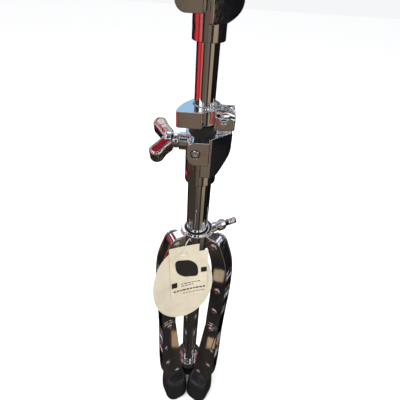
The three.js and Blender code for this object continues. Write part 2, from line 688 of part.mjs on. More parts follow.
function buildLowerLock() {
  const lock = LOWER_LOCK;
  const bore = MIDDLE_TUBE_RADIUS + REST_GAP;
  const outer = bore + LOCK_WALL;
  const z0 = LOWER_LOCK_BOTTOM;
  const z1 = z0 + LOCK_HEIGHT;
  const mid = (z0 + z1) / 2;
  const wide = 60;
  const seam = REST_GAP / 2;
  const hole = cylinder(bore, z0 - 1, z1 + 1);
  const stem = (x0, x1) => block(x0, x1, outer - 3, GATE_PIVOT_Y, z0, z1);
  const knuckle = (low, high) => at(cylinder(KNUCKLE_RADIUS, low, high, 12), 0, GATE_PIVOT_Y, 0);
  const clear = (low, high) => {
    const room = cylinder(KNUCKLE_RADIUS + REST_GAP + 0.2, low, high, 12);
    return at(room, 0, GATE_PIVOT_Y, 0);
  };

  const bodyPad = padShape(-lock.left, -HALF_SPLIT, lock.front, lock.slant);
  const left = cut(
    join(cylinder(outer, z0, z1), upright(bodyPad, z0, z1), stem(-KNUCKLE_RADIUS, -HALF_SPLIT)),
    block(-HALF_SPLIT, wide, -wide, wide, z0 - 1, z1 + 1),
    clear(mid - seam, z1 + 1),
  );
  add(object, 'lower_lock_body', cut(join(left, knuckle(z0, mid - seam - 0.01)), hole), castChrome);

  const gatePad = padShape(lock.gateLeft, lock.gateRight, lock.front);
  const right = cut(
    join(cylinder(outer, z0, z1), upright(gatePad, z0, z1), stem(HALF_SPLIT, KNUCKLE_RADIUS)),
    block(-wide, HALF_SPLIT, -wide, wide, z0 - 1, z1 + 1),
    clear(z0 - 1, mid + seam),
  );
  const boltHole = alongY(cylinder(KEY_BOLT_RADIUS + PIN_GAP, -30, -9, 12));
  add(object, 'lower_lock_gate', cut(
    join(right, knuckle(mid + seam + 0.01, z1)),
    hole,
    at(boltHole, LOCK_BOLT_X, 0, mid),
  ), castChrome);
  add(object, 'lower_lock_bolt', at(keyBolt(lock.front), LOCK_BOLT_X, 0, mid), chrome);
}

// Key bolt along Y with a square drive head in front of a face at y = -front
function keyBolt(front) {
  const stem = alongY(cylinder(KEY_BOLT_RADIUS, -front - 2, -front + 10.5, 12));
  const head = alongY(cylinder(KEY_BOLT_RADIUS * 1.6, -front - 2.4, -front - REST_GAP, 12));
  const half = KEY_BOLT_RADIUS * 0.8;
  return join(stem, head, block(-half, half, -front - 8, -front - 1, -half, half));
}

function buildUpperClamp() {
  const clamp = UPPER_CLAMP;
  const casting = clampCasting(
    clamp, MIDDLE_TUBE_RADIUS, UPPER_BLOCK_BOTTOM, UPPER_BLOCK_BOTTOM - 1, UPPER_BLOCK_BOTTOM - 8,
    UPPER_BOLT_Z,
  );
  add(object, 'upper_clamp_casting', casting, castChrome);

  buildBushing('upper_clamp_bushing', {
    tubeRadius: MIDDLE_TUBE_RADIUS,
    wall: MIDDLE_TUBE_WALL,
    bore: UPPER_TUBE_RADIUS + NARROW_SLIDE_GAP,
    tubeTop: MIDDLE_TUBE_TOP,
    lockBottom: UPPER_LOCK_BOTTOM,
  });

  const wing = group(object, -clamp.ear + BOLT_SHAFT, clamp.boltY, UPPER_BOLT_Z, 180);
  const bolt = wingBolt({
    shaftRadius: WING_BOLT_RADIUS,
    shaft: BOLT_SHAFT + REST_GAP,
    hubRadius: 6,
    hub: 12,
    span: 19,
    reach: 14,
    thickness: 6,
  });
  add(wing, 'upper_clamp_wing_bolt', bolt.rotateX(radians(UPPER_WING_TURN)), castChrome);
}

function buildUpperLock() {
  const lock = UPPER_LOCK;
  const bore = UPPER_TUBE_RADIUS + REST_GAP;
  const z0 = UPPER_LOCK_BOTTOM;
  const z1 = z0 + LOCK_HEIGHT - 1;
  const pad = upright(padShape(-lock.left, lock.right, lock.front), z0, z1);
  const slit = block(-1, 1.4, -30, 0, z0 - 1, z1 + 1);
  const boltHole = alongY(cylinder(KEY_BOLT_RADIUS + PIN_GAP, -30, -7, 12));
  add(object, 'upper_lock', cut(
    join(cylinder(bore + LOCK_WALL, z0, z1), pad),
    cylinder(bore, z0 - 1, z1 + 1),
    slit,
    at(boltHole, lock.boltX, 0, (z0 + z1) / 2),
  ), castChrome);
  add(object, 'upper_lock_bolt', at(keyBolt(lock.front + 4), lock.boltX, 0, (z0 + z1) / 2), chrome);
}

// ---- tubes, seat, rod and clutch ----

function buildTop() {
  const middleInner = MIDDLE_TUBE_RADIUS - MIDDLE_TUBE_WALL;
  const middle = ring(middleInner, MIDDLE_TUBE_RADIUS, MIDDLE_TUBE_BOTTOM, MIDDLE_TUBE_TOP);
  add(object, 'middle_tube', middle, chrome);
  const upperInner = UPPER_TUBE_RADIUS - UPPER_TUBE_WALL;
  const upper = ring(upperInner, UPPER_TUBE_RADIUS, UPPER_TUBE_BOTTOM, UPPER_TUBE_TOP);
  add(object, 'upper_tube', upper, chrome);

  const seatHole = ROD_RADIUS + SEAT_CLEARANCE;
  const holderBottom = UPPER_TUBE_TOP - 14;
  const holderTop = SEAT_Z - 6;
  const hub = UPPER_TUBE_RADIUS + REST_GAP + 3.5;
  const arm = block(0, TILT_SCREW_X + 6, -6, 6, UPPER_TUBE_TOP - 4, UPPER_TUBE_TOP + 2);
  const through = cylinder(KEY_BOLT_RADIUS + PIN_GAP, UPPER_TUBE_TOP - 10, UPPER_TUBE_TOP + 8, 12);
  const screwHole = at(through, TILT_SCREW_X, 0, 0);
  add(object, 'seat_holder', cut(
    join(cylinder(hub, holderBottom, holderTop), arm),
    cylinder(UPPER_TUBE_RADIUS + REST_GAP, holderBottom - 1, UPPER_TUBE_TOP + REST_GAP),
    cylinder(seatHole, holderBottom, holderTop + 1),
    screwHole,
  ), castChrome);

  const rim = SEAT_Z + SEAT_THICKNESS;
  add(object, 'seat_cup', turned([
    [seatHole, SEAT_Z - 4], [hub, SEAT_Z - 4], [hub + 2, SEAT_Z], [SEAT_RADIUS - 4, SEAT_Z],
    [SEAT_RADIUS, SEAT_Z + 2], [SEAT_RADIUS, rim + 2], [SEAT_RADIUS - 2, rim + 2], [SEAT_RADIUS - 2, rim],
    [seatHole, rim], [seatHole, SEAT_Z - 4],
  ]), castChrome);
  const feltTop = FELT_Z + FELT_THICKNESS;
  add(object, 'seat_felt', feltRing(seatHole, FELT_RADIUS, FELT_Z, feltTop), felt);

  const knobZ = UPPER_TUBE_TOP - 15;
  const knob = TILT_KNOB_RADIUS;
  const tip = SEAT_Z - REST_GAP - 0.6;
  add(object, 'tilt_screw', at(turned([
    [0, knobZ], [knob - 1, knobZ], [knob, knobZ + 1], [knob, knobZ + 8], [knob - 1, knobZ + 9],
    [KEY_BOLT_RADIUS, knobZ + 9], [KEY_BOLT_RADIUS, tip], [0, tip],
  ], 14), TILT_SCREW_X, 0, 0), chrome);

  add(object, 'center_rod', turned([
    [0, ROD_TOP - ROD_LENGTH], [ROD_RADIUS, ROD_TOP - ROD_LENGTH], [ROD_RADIUS, ROD_TOP - 1],
    [ROD_RADIUS - 0.8, ROD_TOP], [0, ROD_TOP],
  ], 12), chrome);
}

function feltRing(inner, outer, bottom, top) {
  return turned([
    [inner, bottom], [outer - 1.5, bottom], [outer, bottom + 1.5], [outer, top - 1.5],
    [outer - 1.5, top], [inner, top], [inner, bottom],
  ]);
}

function buildClutch() {
  const bore = ROD_RADIUS + SLIDE_GAP;
  const top = CLUTCH_Z + CLUTCH_LENGTH;
  const flange = CLUTCH_Z + CLUTCH_STEM;
  const profile = [
    [bore, CLUTCH_Z], [CLUTCH_RADIUS - 1.5, CLUTCH_Z], [CLUTCH_RADIUS - 1.5, flange],
    [CLUTCH_FELT_RADIUS - 3, flange], [CLUTCH_FELT_RADIUS - 3, flange + 3],
    [CLUTCH_RADIUS + 3, flange + 6], [CLUTCH_RADIUS + 3, top - 1], [CLUTCH_RADIUS + 2, top],
    [bore, top], [bore, CLUTCH_Z],
  ];
  const screwHole = alongX(cylinder(2.5 + PIN_GAP, ROD_RADIUS, CLUTCH_RADIUS + 4, 14));
  const screwZ = top - 10;
  add(object, 'clutch_body', cut(turned(profile, 24), at(screwHole, 0, 0, screwZ)), chrome);

  const stem = CLUTCH_RADIUS - 1.5 + REST_GAP;
  const nutTop = CLUTCH_Z + 8;
  const knurl = turned([
    [stem, CLUTCH_Z + 1], [11, CLUTCH_Z + 1], [12, CLUTCH_Z + 2], [12, nutTop - 1], [11, nutTop],
    [stem, nutTop], [stem, CLUTCH_Z + 1],
  ], 24);
  add(object, 'clutch_nut', knurl, chrome);
  const feltHeight = 8;
  const lowFelt = nutTop + REST_GAP;
  const highFelt = flange - REST_GAP - feltHeight;
  const feltAt = (z) => feltRing(stem, CLUTCH_FELT_RADIUS, z, z + feltHeight);
  add(object, 'clutch_lower_felt', feltAt(lowFelt), felt);
  add(object, 'clutch_upper_felt', feltAt(highFelt), felt);

  const screw = wingBolt({
    shaftRadius: 2.5,
    shaft: CLUTCH_RADIUS + 3 - ROD_RADIUS,
    hubRadius: 4.5,
    hub: 8,
    span: 12,
    reach: 8,
    thickness: 3.5,
  });
  add(group(object, ROD_RADIUS + REST_GAP, 0, screwZ), 'clutch_wing_screw', screw, chrome);
}

buildBase();
Object.keys(LEG_AZIMUTHS).forEach(buildLeg);
buildCollar();
buildTags();
buildLowerClamp();
buildLowerLock();
buildUpperClamp();
buildUpperLock();
buildTop();
buildClutch();

export default object;
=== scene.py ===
import json
import math

import bmesh
import bpy
import numpy as np
from mathutils import Matrix, Vector


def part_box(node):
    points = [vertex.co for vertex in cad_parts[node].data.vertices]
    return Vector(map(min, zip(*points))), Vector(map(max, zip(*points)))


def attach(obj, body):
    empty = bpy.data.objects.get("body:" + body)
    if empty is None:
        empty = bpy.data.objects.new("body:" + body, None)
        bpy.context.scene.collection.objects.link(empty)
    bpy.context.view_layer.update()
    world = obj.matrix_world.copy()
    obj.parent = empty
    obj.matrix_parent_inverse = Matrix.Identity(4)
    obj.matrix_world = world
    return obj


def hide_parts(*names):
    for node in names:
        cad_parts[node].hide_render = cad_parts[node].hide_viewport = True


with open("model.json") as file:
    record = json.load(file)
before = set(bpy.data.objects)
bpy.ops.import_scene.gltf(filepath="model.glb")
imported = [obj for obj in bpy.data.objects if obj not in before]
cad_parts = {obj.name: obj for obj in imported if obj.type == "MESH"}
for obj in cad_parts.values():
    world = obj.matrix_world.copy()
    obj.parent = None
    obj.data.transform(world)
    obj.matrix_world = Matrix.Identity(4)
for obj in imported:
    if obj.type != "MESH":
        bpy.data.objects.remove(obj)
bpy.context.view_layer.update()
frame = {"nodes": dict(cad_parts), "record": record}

MM = 0.001

# Sizes of the stand, in millimetres, that its boxes don't give
HINGE_RADIUS = 30
ARM_REACH = 13
ARM_RISE = 180
STRUT_PIN_Z = 14
LEG_AZIMUTHS = {"right": -30, "rear": 90, "left": 210}
LEG_HALF_THICKNESS = 9
STRIP_THICKNESS = 2
STRUT_WIDTH = 21
SIDE_GAP = 0.5
PIN_RADIUS = 3
PIN_HEAD_RADIUS = 5.2
PIN_HEAD_HEIGHT = 1.8
FOOT_BOTTOM = -104
FOOT_RADIUS = 31
HEAD_GAP = 0.2  # under a pin's head
SPACER_RADIUS = 4.5
RIVET_RADIUS = HINGE_RADIUS + ARM_REACH
RIVET_Z = STRUT_PIN_Z + ARM_RISE
COLLAR_PIN_Z = RIVET_Z + ARM_RISE
MORE_SPACERS = ((RIVET_RADIUS, 244), (RIVET_RADIUS + 5, 120), (RIVET_RADIUS + 4, 60))
BASE_WALL = 1.5
TUBE_WALL = 1.2  # of the middle and the upper tube
FIT_GAP = 0.3  # between a tube and what it runs in or rests on
SLEEVE_INSET = 0.2
LOWER_CLAMP_WALL = 3.2
UPPER_CLAMP_WALL = 3.7
LOCK_WALL = 5.5
SEAT_HOLDER_WALL = 3.5
COLLAR_BUSHING = (0.45, 1.3)  # play and wall
COLLAR_WALL = 4.6
STRUT_COLLAR_WALL = 5
TAG_HINGE = (-12, -44, 388)
TAG_LEAN = 4.5
TAG_YAW = 20

ROUND = 96  # segments round a tube

body_of = {
    node: body
    for body, nodes in frame["record"]["behaviour"]["bodies"].items()
    for node in nodes
}


# ---- shader maths ----


class Value:
    """A number socket; arithmetic on it adds Math nodes."""

    def __init__(self, graph, socket):
        self.graph = graph
        self.socket = socket

    def _math(self, operation, first, second):
        return self.graph.value("ShaderNodeMath", {"operation": operation}, {0: first, 1: second})

    def __add__(self, other):
        return self._math("ADD", self, other)

    def __radd__(self, other):
        return self._math("ADD", other, self)

    def __sub__(self, other):
        return self._math("SUBTRACT", self, other)

    def __rsub__(self, other):
        return self._math("SUBTRACT", other, self)

    def __mul__(self, other):
        return self._math("MULTIPLY", self, other)

    def __rmul__(self, other):
        return self._math("MULTIPLY", other, self)


class Graph:
    """A node tree that is written as expressions."""

    def __init__(self, tree):
        self.tree = tree
        tree.nodes.clear()

    def node(self, kind, settings=None, inputs=None):
        made = self.tree.nodes.new(kind)
        for name, setting in (settings or {}).items():
            setattr(made, name, setting)
        for name, given in (inputs or {}).items():
            if isinstance(given, Value):
                self.tree.links.new(given.socket, made.inputs[name])
            elif isinstance(given, bpy.types.NodeSocket):
                self.tree.links.new(given, made.inputs[name])
            else:
                made.inputs[name].default_value = given
        return made

    def value(self, kind, settings=None, inputs=None, output=0):
        return Value(self, self.node(kind, settings, inputs).outputs[output])

    def mix(self, factor, first, second):
        """Colour between first and second."""
        inputs = {0: factor, 6: opaque(first), 7: opaque(second)}
        return self.node("ShaderNodeMix", {"data_type": "RGBA"}, inputs).outputs[2]

    def noise(self, where, scale, detail=3.0, rough=0.5):
        inputs = {"Vector": where, "Scale": scale, "Detail": detail, "Roughness": rough}
        return self.value("ShaderNodeTexNoise", None, inputs)

    def ease(self, number, low, high):
        """0 below low, 1 above high, smooth between."""
        settings = {"interpolation_type": "SMOOTHSTEP"}
        inputs = {"Value": number, "From Min": low, "From Max": high}
        return self.value("ShaderNodeMapRange", settings, inputs)

    def band(self, number, low, high, soft):
        """1 between low and high, 0 outside."""
        return self.ease(number, low - soft, low + soft) * (1 - self.ease(number, high - soft, high + soft))

    def stretched(self, where, x, y, z):
        inputs = {"Vector": where, "Scale": (x, y, z)}
        return self.node("ShaderNodeMapping", None, inputs).outputs[0]


def opaque(colour):
    return (*colour, 1.0) if isinstance(colour, tuple) and len(colour) == 3 else colour


materials = {}


def material(name, build):
    """The material of that name, built once by build(graph, place), which returns the shader's inputs."""
    if name not in materials:
        made = bpy.data.materials.new(name)
        made.use_nodes = True
        graph = Graph(made.node_tree)
        place = graph.node("ShaderNodeTexCoord").outputs["Object"]
        shader = graph.node("ShaderNodeBsdfPrincipled", None, build(graph, place))
        graph.node("ShaderNodeOutputMaterial", None, {"Surface": shader.outputs[0]})
        materials[name] = made
    return materials[name]


def bumped(graph, height, strength, distance):
    inputs = {"Height": height, "Strength": strength, "Distance": distance}
    return graph.node("ShaderNodeBump", None, inputs).outputs[0]


def polished_chrome(g, place):
    """Bright plate on drawn steel: faint wiping marks along the tube, and a few dull smudges."""
    smudge = g.ease(g.noise(place, 45, 4, 0.6), 0.52, 0.72)
    wiping = g.noise(g.stretched(place, 900, 900, 40), 1, 2)
    pitting = g.ease(g.noise(place, 1400, 2), 0.70, 0.80)
    shade = g.mix(smudge * 0.35, (0.80, 0.80, 0.81), (0.66, 0.65, 0.63))
    return {
        "Base Color": g.mix(pitting * 0.5, shade, (0.30, 0.27, 0.24)),
        "Metallic": 1.0,
        "Roughness": 0.035 + smudge * 0.07 + wiping * 0.03 + pitting * 0.2,
        "Normal": bumped(g, wiping, 0.03, 0.0002),
    }


def cast_chrome(g, place):
    """Plate on die-cast zinc: a soft orange-peel surface, with dust in places."""
    peel = g.noise(place, 260, 2)
    dust = g.ease(g.noise(place, 60, 5, 0.65), 0.55, 0.78)
    return {
        "Base Color": g.mix(dust * 0.4, (0.78, 0.78, 0.79), (0.55, 0.53, 0.50)),
        "Metallic": 1.0,
        "Roughness": 0.05 + dust * 0.12,
        "Normal": bumped(g, peel, 0.10, 0.0006),
    }


def strip_chrome(g, place):
    """Plate on pressed strip: fine scratches along the strip, worn a little duller than the tubes."""
    scratch = g.ease(g.noise(g.stretched(place, 700, 700, 25), 1, 4, 0.7), 0.58, 0.72)
    cloud = g.noise(place, 30, 3)
    return {
        "Base Color": g.mix(g.ease(cloud, 0.4, 0.75) * 0.5, (0.74, 0.74, 0.75), (0.56, 0.54, 0.51)),
        "Metallic": 1.0,
        "Roughness": 0.025 + scratch * 0.08 + cloud * 0.02,
        "Normal": bumped(g, g.noise(place, 120, 2), 0.02, 0.0006),
    }


def black_nylon(g, place):
    """Moulded nylon, rubbed a little grey in places."""
    grain = g.noise(place, 900, 3)
    wear = g.ease(g.noise(place, 70, 4), 0.5, 0.8)
    return {
        "Base Color": g.mix(wear, (0.012, 0.012, 0.013), (0.035, 0.034, 0.034)),
        "Roughness": 0.38 + grain * 0.15,
        "Normal": bumped(g, grain, 0.15, 0.0002),
    }


def black_rubber(g, place):
    """Moulded rubber: satin skin, with scuffs and pale dust near the floor."""
    grain = g.noise(place, 1100, 3)
    scuff = g.ease(g.noise(place, 130, 5, 0.7), 0.55, 0.72)
    height = g.value("ShaderNodeSeparateXYZ", None, {0: place}, 2)
    low = 1 - g.ease(height, (FOOT_BOTTOM + 2) * MM, (FOOT_BOTTOM + 26) * MM)
    dusty = g.mix(scuff * low, (0.009, 0.009, 0.011), (0.05, 0.046, 0.04))
    return {
        "Base Color": g.mix(scuff * 0.4, dusty, (0.02, 0.02, 0.023)),
        "Roughness": 0.27 + scuff * 0.25 + grain * 0.08,
        "Specular IOR Level": 0.55,
        "Normal": bumped(g, grain + scuff * 0.5, 0.25, 0.0003),
    }


def wool_felt(g, place):
    """Dark pressed wool: matt, clumped, with stray pale fibres."""
    fibre = g.noise(place, 1500, 6, 0.75)
    clump = g.noise(place, 240, 4, 0.6)
    pale = g.ease(clump * 0.5 + fibre * 0.5, 0.35, 0.65)
    return {
        "Base Color": g.mix(pale, (0.045, 0.045, 0.048), (0.15, 0.148, 0.145)),
        "Roughness": 0.96,
        "Sheen Weight": 0.5,
        "Normal": bumped(g, fibre + clump, 0.6, 0.0006),
    }


def cream_card(g, place):
    """Uncoated card: fibres, faint mottling and a warmer tone in patches."""
    fibre = g.noise(g.stretched(place, 1, 1, 2.2), 1300, 5, 0.7)
    mottle = g.noise(place, 55, 4, 0.6)
    shade = g.mix(g.ease(mottle, 0.35, 0.7), (0.53, 0.465, 0.355), (0.465, 0.405, 0.30))
    return {
        "Base Color": g.mix(g.ease(fibre, 0.55, 0.75) * 0.25, shade, (0.34, 0.29, 0.22)),
        "Roughness": 0.8 + fibre * 0.1,
        "Normal": bumped(g, fibre, 0.2, 0.0002),
    }


def plain_card(g, place):
    """The oval's stock, a little greyer than the card's."""
    fibre = g.noise(place, 1200, 5, 0.7)
    mottle = g.noise(place, 40, 4, 0.6)
    shade = g.mix(g.ease(mottle, 0.35, 0.7), (0.51, 0.45, 0.345), (0.445, 0.39, 0.295))
    return {
        "Base Color": g.mix(g.ease(fibre, 0.55, 0.75) * 0.25, shade, (0.33, 0.29, 0.23)),
        "Roughness": 0.82 + fibre * 0.1,
        "Normal": bumped(g, fibre, 0.2, 0.0002),
    }


def black_ink(g, place):
    """Printing ink, thin in places."""
    thin = g.ease(g.noise(place, 900, 4, 0.7), 0.62, 0.8)
    return {
        "Base Color": g.mix(thin * 0.5, (0.012, 0.011, 0.011), (0.16, 0.14, 0.12)),
        "Roughness": 0.5 + thin * 0.2,
    }


def pale_elastic(g, place):
    """Covered elastic with fine ribs."""
    rib = g.noise(g.stretched(place, 600, 3000, 3000), 1, 2)
    return {
        "Base Color": g.mix(rib, (0.66, 0.64, 0.58), (0.42, 0.40, 0.36)),
        "Roughness": 0.7 + rib * 0.15,
        "Normal": bumped(g, rib, 0.5, 0.0003),
    }


FINISHES = {
    "chrome": ("chrome", polished_chrome),
    "cast_chrome": ("cast_chrome", cast_chrome),
    "strip_chrome": ("chrome", strip_chrome),
    "nylon": ("nylon", black_nylon),
    "rubber": ("rubber", black_rubber),
    "felt": ("felt", wool_felt),
    "paper": ("paper", cream_card),
    "oval_paper": ("paper", plain_card),
    "ink": ("paper", black_ink),
    "elastic": ("elastic", pale_elastic),
}


# ---- mesh work ----


def make_object(name, bm, crease=40):
    """An object from a bmesh, smooth except where faces meet at more than crease degrees."""
    bmesh.ops.remove_doubles(bm, verts=bm.verts, dist=1e-7)
    bmesh.ops.recalc_face_normals(bm, faces=bm.faces)
    mesh = bpy.data.meshes.new(name)
    bm.to_mesh(mesh)
    bm.free()
    return link_mesh(name, mesh, crease)


def link_mesh(name, mesh, crease):
    mesh.shade_smooth()
    mesh.set_sharp_from_angle(angle=math.radians(crease))
    made = bpy.data.objects.new(name, mesh)
    bpy.context.scene.collection.objects.link(made)
    return made


def rounded(obj, width):
    """Rolls the sharp edges of obj to a small radius, in millimetres."""
    bevel = obj.modifiers.new("edges", "BEVEL")
    bevel.width = width * MM
    bevel.segments = 3
    bevel.limit_method = "ANGLE"
    bevel.angle_limit = math.radians(30)
    bevel.harden_normals = False
    return obj


def applied(obj, crease=60):
    """Turns obj's modifiers into its mesh."""
    bpy.context.view_layer.update()
    evaluated = obj.evaluated_get(bpy.context.evaluated_depsgraph_get())
    mesh = bpy.data.meshes.new_from_object(evaluated)
    obj.modifiers.clear()
    obj.data = mesh
    mesh.shade_smooth()
    mesh.set_sharp_from_angle(angle=math.radians(crease))
    return obj


def dress(obj, finish, node=None, body=None):
    """Gives a piece its finish, its body, and the CAD node that it stands for."""
    slot, build = FINISHES[finish]
    obj.data.materials.clear()
    obj.data.materials.append(material(finish, build))
    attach(obj, body or body_of[node])
    if node:
        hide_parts(node)
    return obj


def turned_bmesh(profile, segments=ROUND, looped=False):
    """Surface turned about Z from [radius, height] points in millimetres."""
    bm = bmesh.new()
    rows = []
    for radius, height in profile:
        if radius < 1e-6:
            rows.append([bm.verts.new((0, 0, height * MM))] * segments)
            continue
        row = []
        for i in range(segments):
            turn = 2 * math.pi * i / segments
            x, y = radius * MM * math.cos(turn), radius * MM * math.sin(turn)
            row.append(bm.verts.new((x, y, height * MM)))
        rows.append(row)
    if looped:
        rows.append(rows[0])
    for low, high in zip(rows, rows[1:]):
        for i in range(segments):
            k = (i + 1) % segments
            corners = []
            for vert in (low[i], low[k], high[k], high[i]):
                if vert not in corners:
                    corners.append(vert)
            if len(corners) > 2:
                bm.faces.new(corners)
    return bm


def turned(name, profile, segments=ROUND, looped=False, edge=0.0):
    obj = make_object(name, turned_bmesh(profile, segments, looped), 35)
    return rounded(obj, edge) if edge else obj


def plate_bmesh(outline, y0, y1):
    """Flat piece with its outline in XZ, between two Y values, in millimetres."""
    bm = bmesh.new()
    verts = [bm.verts.new((x * MM, y0 * MM, z * MM)) for x, z in outline]
    face = bm.faces.new(verts)
    grown = bmesh.ops.extrude_face_region(bm, geom=[face])
    moved = [v for v in grown["geom"] if isinstance(v, bmesh.types.BMVert)]
    bmesh.ops.translate(bm, verts=moved, vec=(0, (y1 - y0) * MM, 0))
    return bm


def lathed_from_box(node):
    """Radius and height range of a round node, in millimetres."""
    low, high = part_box(node)
    return (high.x - low.x) / 2 / MM, low.z / MM, high.z / MM


def turned_to(azimuth):
    return Matrix.Rotation(math.radians(azimuth), 4, "Z")


def casting(node, finish, voxel=0.6, passes=5, rounds=(), crease=50, shape=None):
    """The node's own shape with every edge softened as in a casting.

    rounds lists cylinders that the surface is drawn onto, to take out the flats:
    (point, direction, radius, start, end, tolerance), in millimetres along the direction.
    """
    piece = bpy.data.objects.new(f"{node}_body", frame["nodes"][node].data.copy())
    bpy.context.scene.collection.objects.link(piece)
    remesh = piece.modifiers.new("skin", "REMESH")
    remesh.mode = "VOXEL"
    remesh.voxel_size = voxel * MM
    soften = piece.modifiers.new("soften", "SMOOTH")
    soften.factor = 0.5
    soften.iterations = passes
    applied(piece, crease)
    for point, direction, radius, start, end, tolerance in rounds:
        draw_round(piece.data, Vector(point), Vector(direction).normalized(), radius, start, end, tolerance)
    if shape:
        shape(piece.data)
    return dress(piece, finish, node)


def mesh_points(mesh):
    flat = np.empty(len(mesh.vertices) * 3)
    mesh.vertices.foreach_get("co", flat)
    return flat.reshape(-1, 3) / MM


def set_points(mesh, points):
    mesh.vertices.foreach_set("co", (points * MM).ravel())
    mesh.update()


def draw_round(mesh, point, direction, radius, start, end, tolerance):
    """Moves the vertices near a cylinder onto it."""
    points = mesh_points(mesh)
    offset = points - np.array(point)
    along = offset @ np.array(direction)
    across = offset - np.outer(along, np.array(direction))
    distance = np.linalg.norm(across, axis=1)
    near = (np.abs(distance - radius) < tolerance) & (along > start) & (along < end)
    across[near] *= (radius / distance[near])[:, None]
    points[near] = np.array(point) + np.outer(along[near], np.array(direction)) + across[near]
    set_points(mesh, points)


# ---- camera, floor and light ----

CAMERA_PLACE = (0.0017, -0.263, 0.646)
CAMERA_PITCH = 39.7
CAMERA_ROLL = 3.9


def build_camera():
    """A short lens close above the middle of the stand, looking down along it."""
    pitch = math.radians(CAMERA_PITCH)
    roll = math.radians(CAMERA_ROLL)
    forward = Vector((0, math.cos(pitch), -math.sin(pitch)))
    level = Vector((1, 0, 0))
    right = level * math.cos(roll) + level.cross(forward) * math.sin(roll)
    up = right.cross(forward)
    data = bpy.data.cameras.new("camera")
    data.lens = 27
    data.sensor_width = 36
    data.clip_start = 0.01
    camera = bpy.data.objects.new("camera", data)
    turn = Matrix((right, up, -forward)).transposed().to_4x4()
    camera.matrix_world = Matrix.Translation(CAMERA_PLACE) @ turn
    bpy.context.scene.collection.objects.link(camera)
    bpy.context.scene.camera = camera


def build_floor():
    """A white floor just under the feet."""
    bm = bmesh.new()
    bmesh.ops.create_grid(bm, x_segments=8, y_segments=8, size=6)
    floor = make_object("floor", bm)
    floor.location.z = (FOOT_BOTTOM - FIT_GAP) * MM
    floor.visible_glossy = False
    made = bpy.data.materials.new("floor")
    made.use_nodes = True
    graph = Graph(made.node_tree)
    shader = graph.node("ShaderNodeBsdfPrincipled", None, {
        "Base Color": (0.95, 0.95, 0.95, 1),
        "Roughness": 0.95,
        "Specular IOR Level": 0.0,
        "Emission Color": (1, 1, 1, 1),
        "Emission Strength": 0.09,
    })
    graph.node("ShaderNodeOutputMaterial", None, {"Surface": shader.outputs[0]})
    floor.data.materials.append(made)


def add_area(name, place, target, size, power):
    """A round lamp that the reflections leave out."""
    data = bpy.data.lights.new(name, "AREA")
    data.shape = "DISK"
    data.size = size
    data.energy = power
    light = bpy.data.objects.new(name, data)
    light.location = place
    light.rotation_euler = (Vector(target) - Vector(place)).to_track_quat("-Z", "Y").to_euler()
    light.visible_glossy = False
    bpy.context.scene.collection.objects.link(light)


# Room reflections on the chrome: (azimuth from, to, softness, colour), in degrees about the stand
ROOM_BANDS = (
    (154, 207, 3, (0.50, 0.010, 0.018)),
    (170, 192, 7, (0.60, 0.060, 0.070)),
    (207, 224, 4, (0.62, 0.16, 0.14)),
    (227, 236, 2, (0.020, 0.018, 0.018)),
    (238, 262, 4, (0.13, 0.105, 0.08)),
    (262, 286, 5, (0.18, 0.137, 0.10)),
    (286, 298, 2, (0.022, 0.024, 0.022)),
    (300, 332, 4, (0.40, 0.30, 0.205)),
)
# Pale rugs far down: (azimuth from, to, degrees below the eye from, to, colour)
RUGS = (
    (215.7, 219, 52.3, 54.4, (0.50, 0.38, 0.25)),
    (216.8, 220, 64, 65.6, (0.55, 0.37, 0.23)),
    (322.4, 328, 63.4, 65.9, (0.46, 0.29, 0.18)),
)


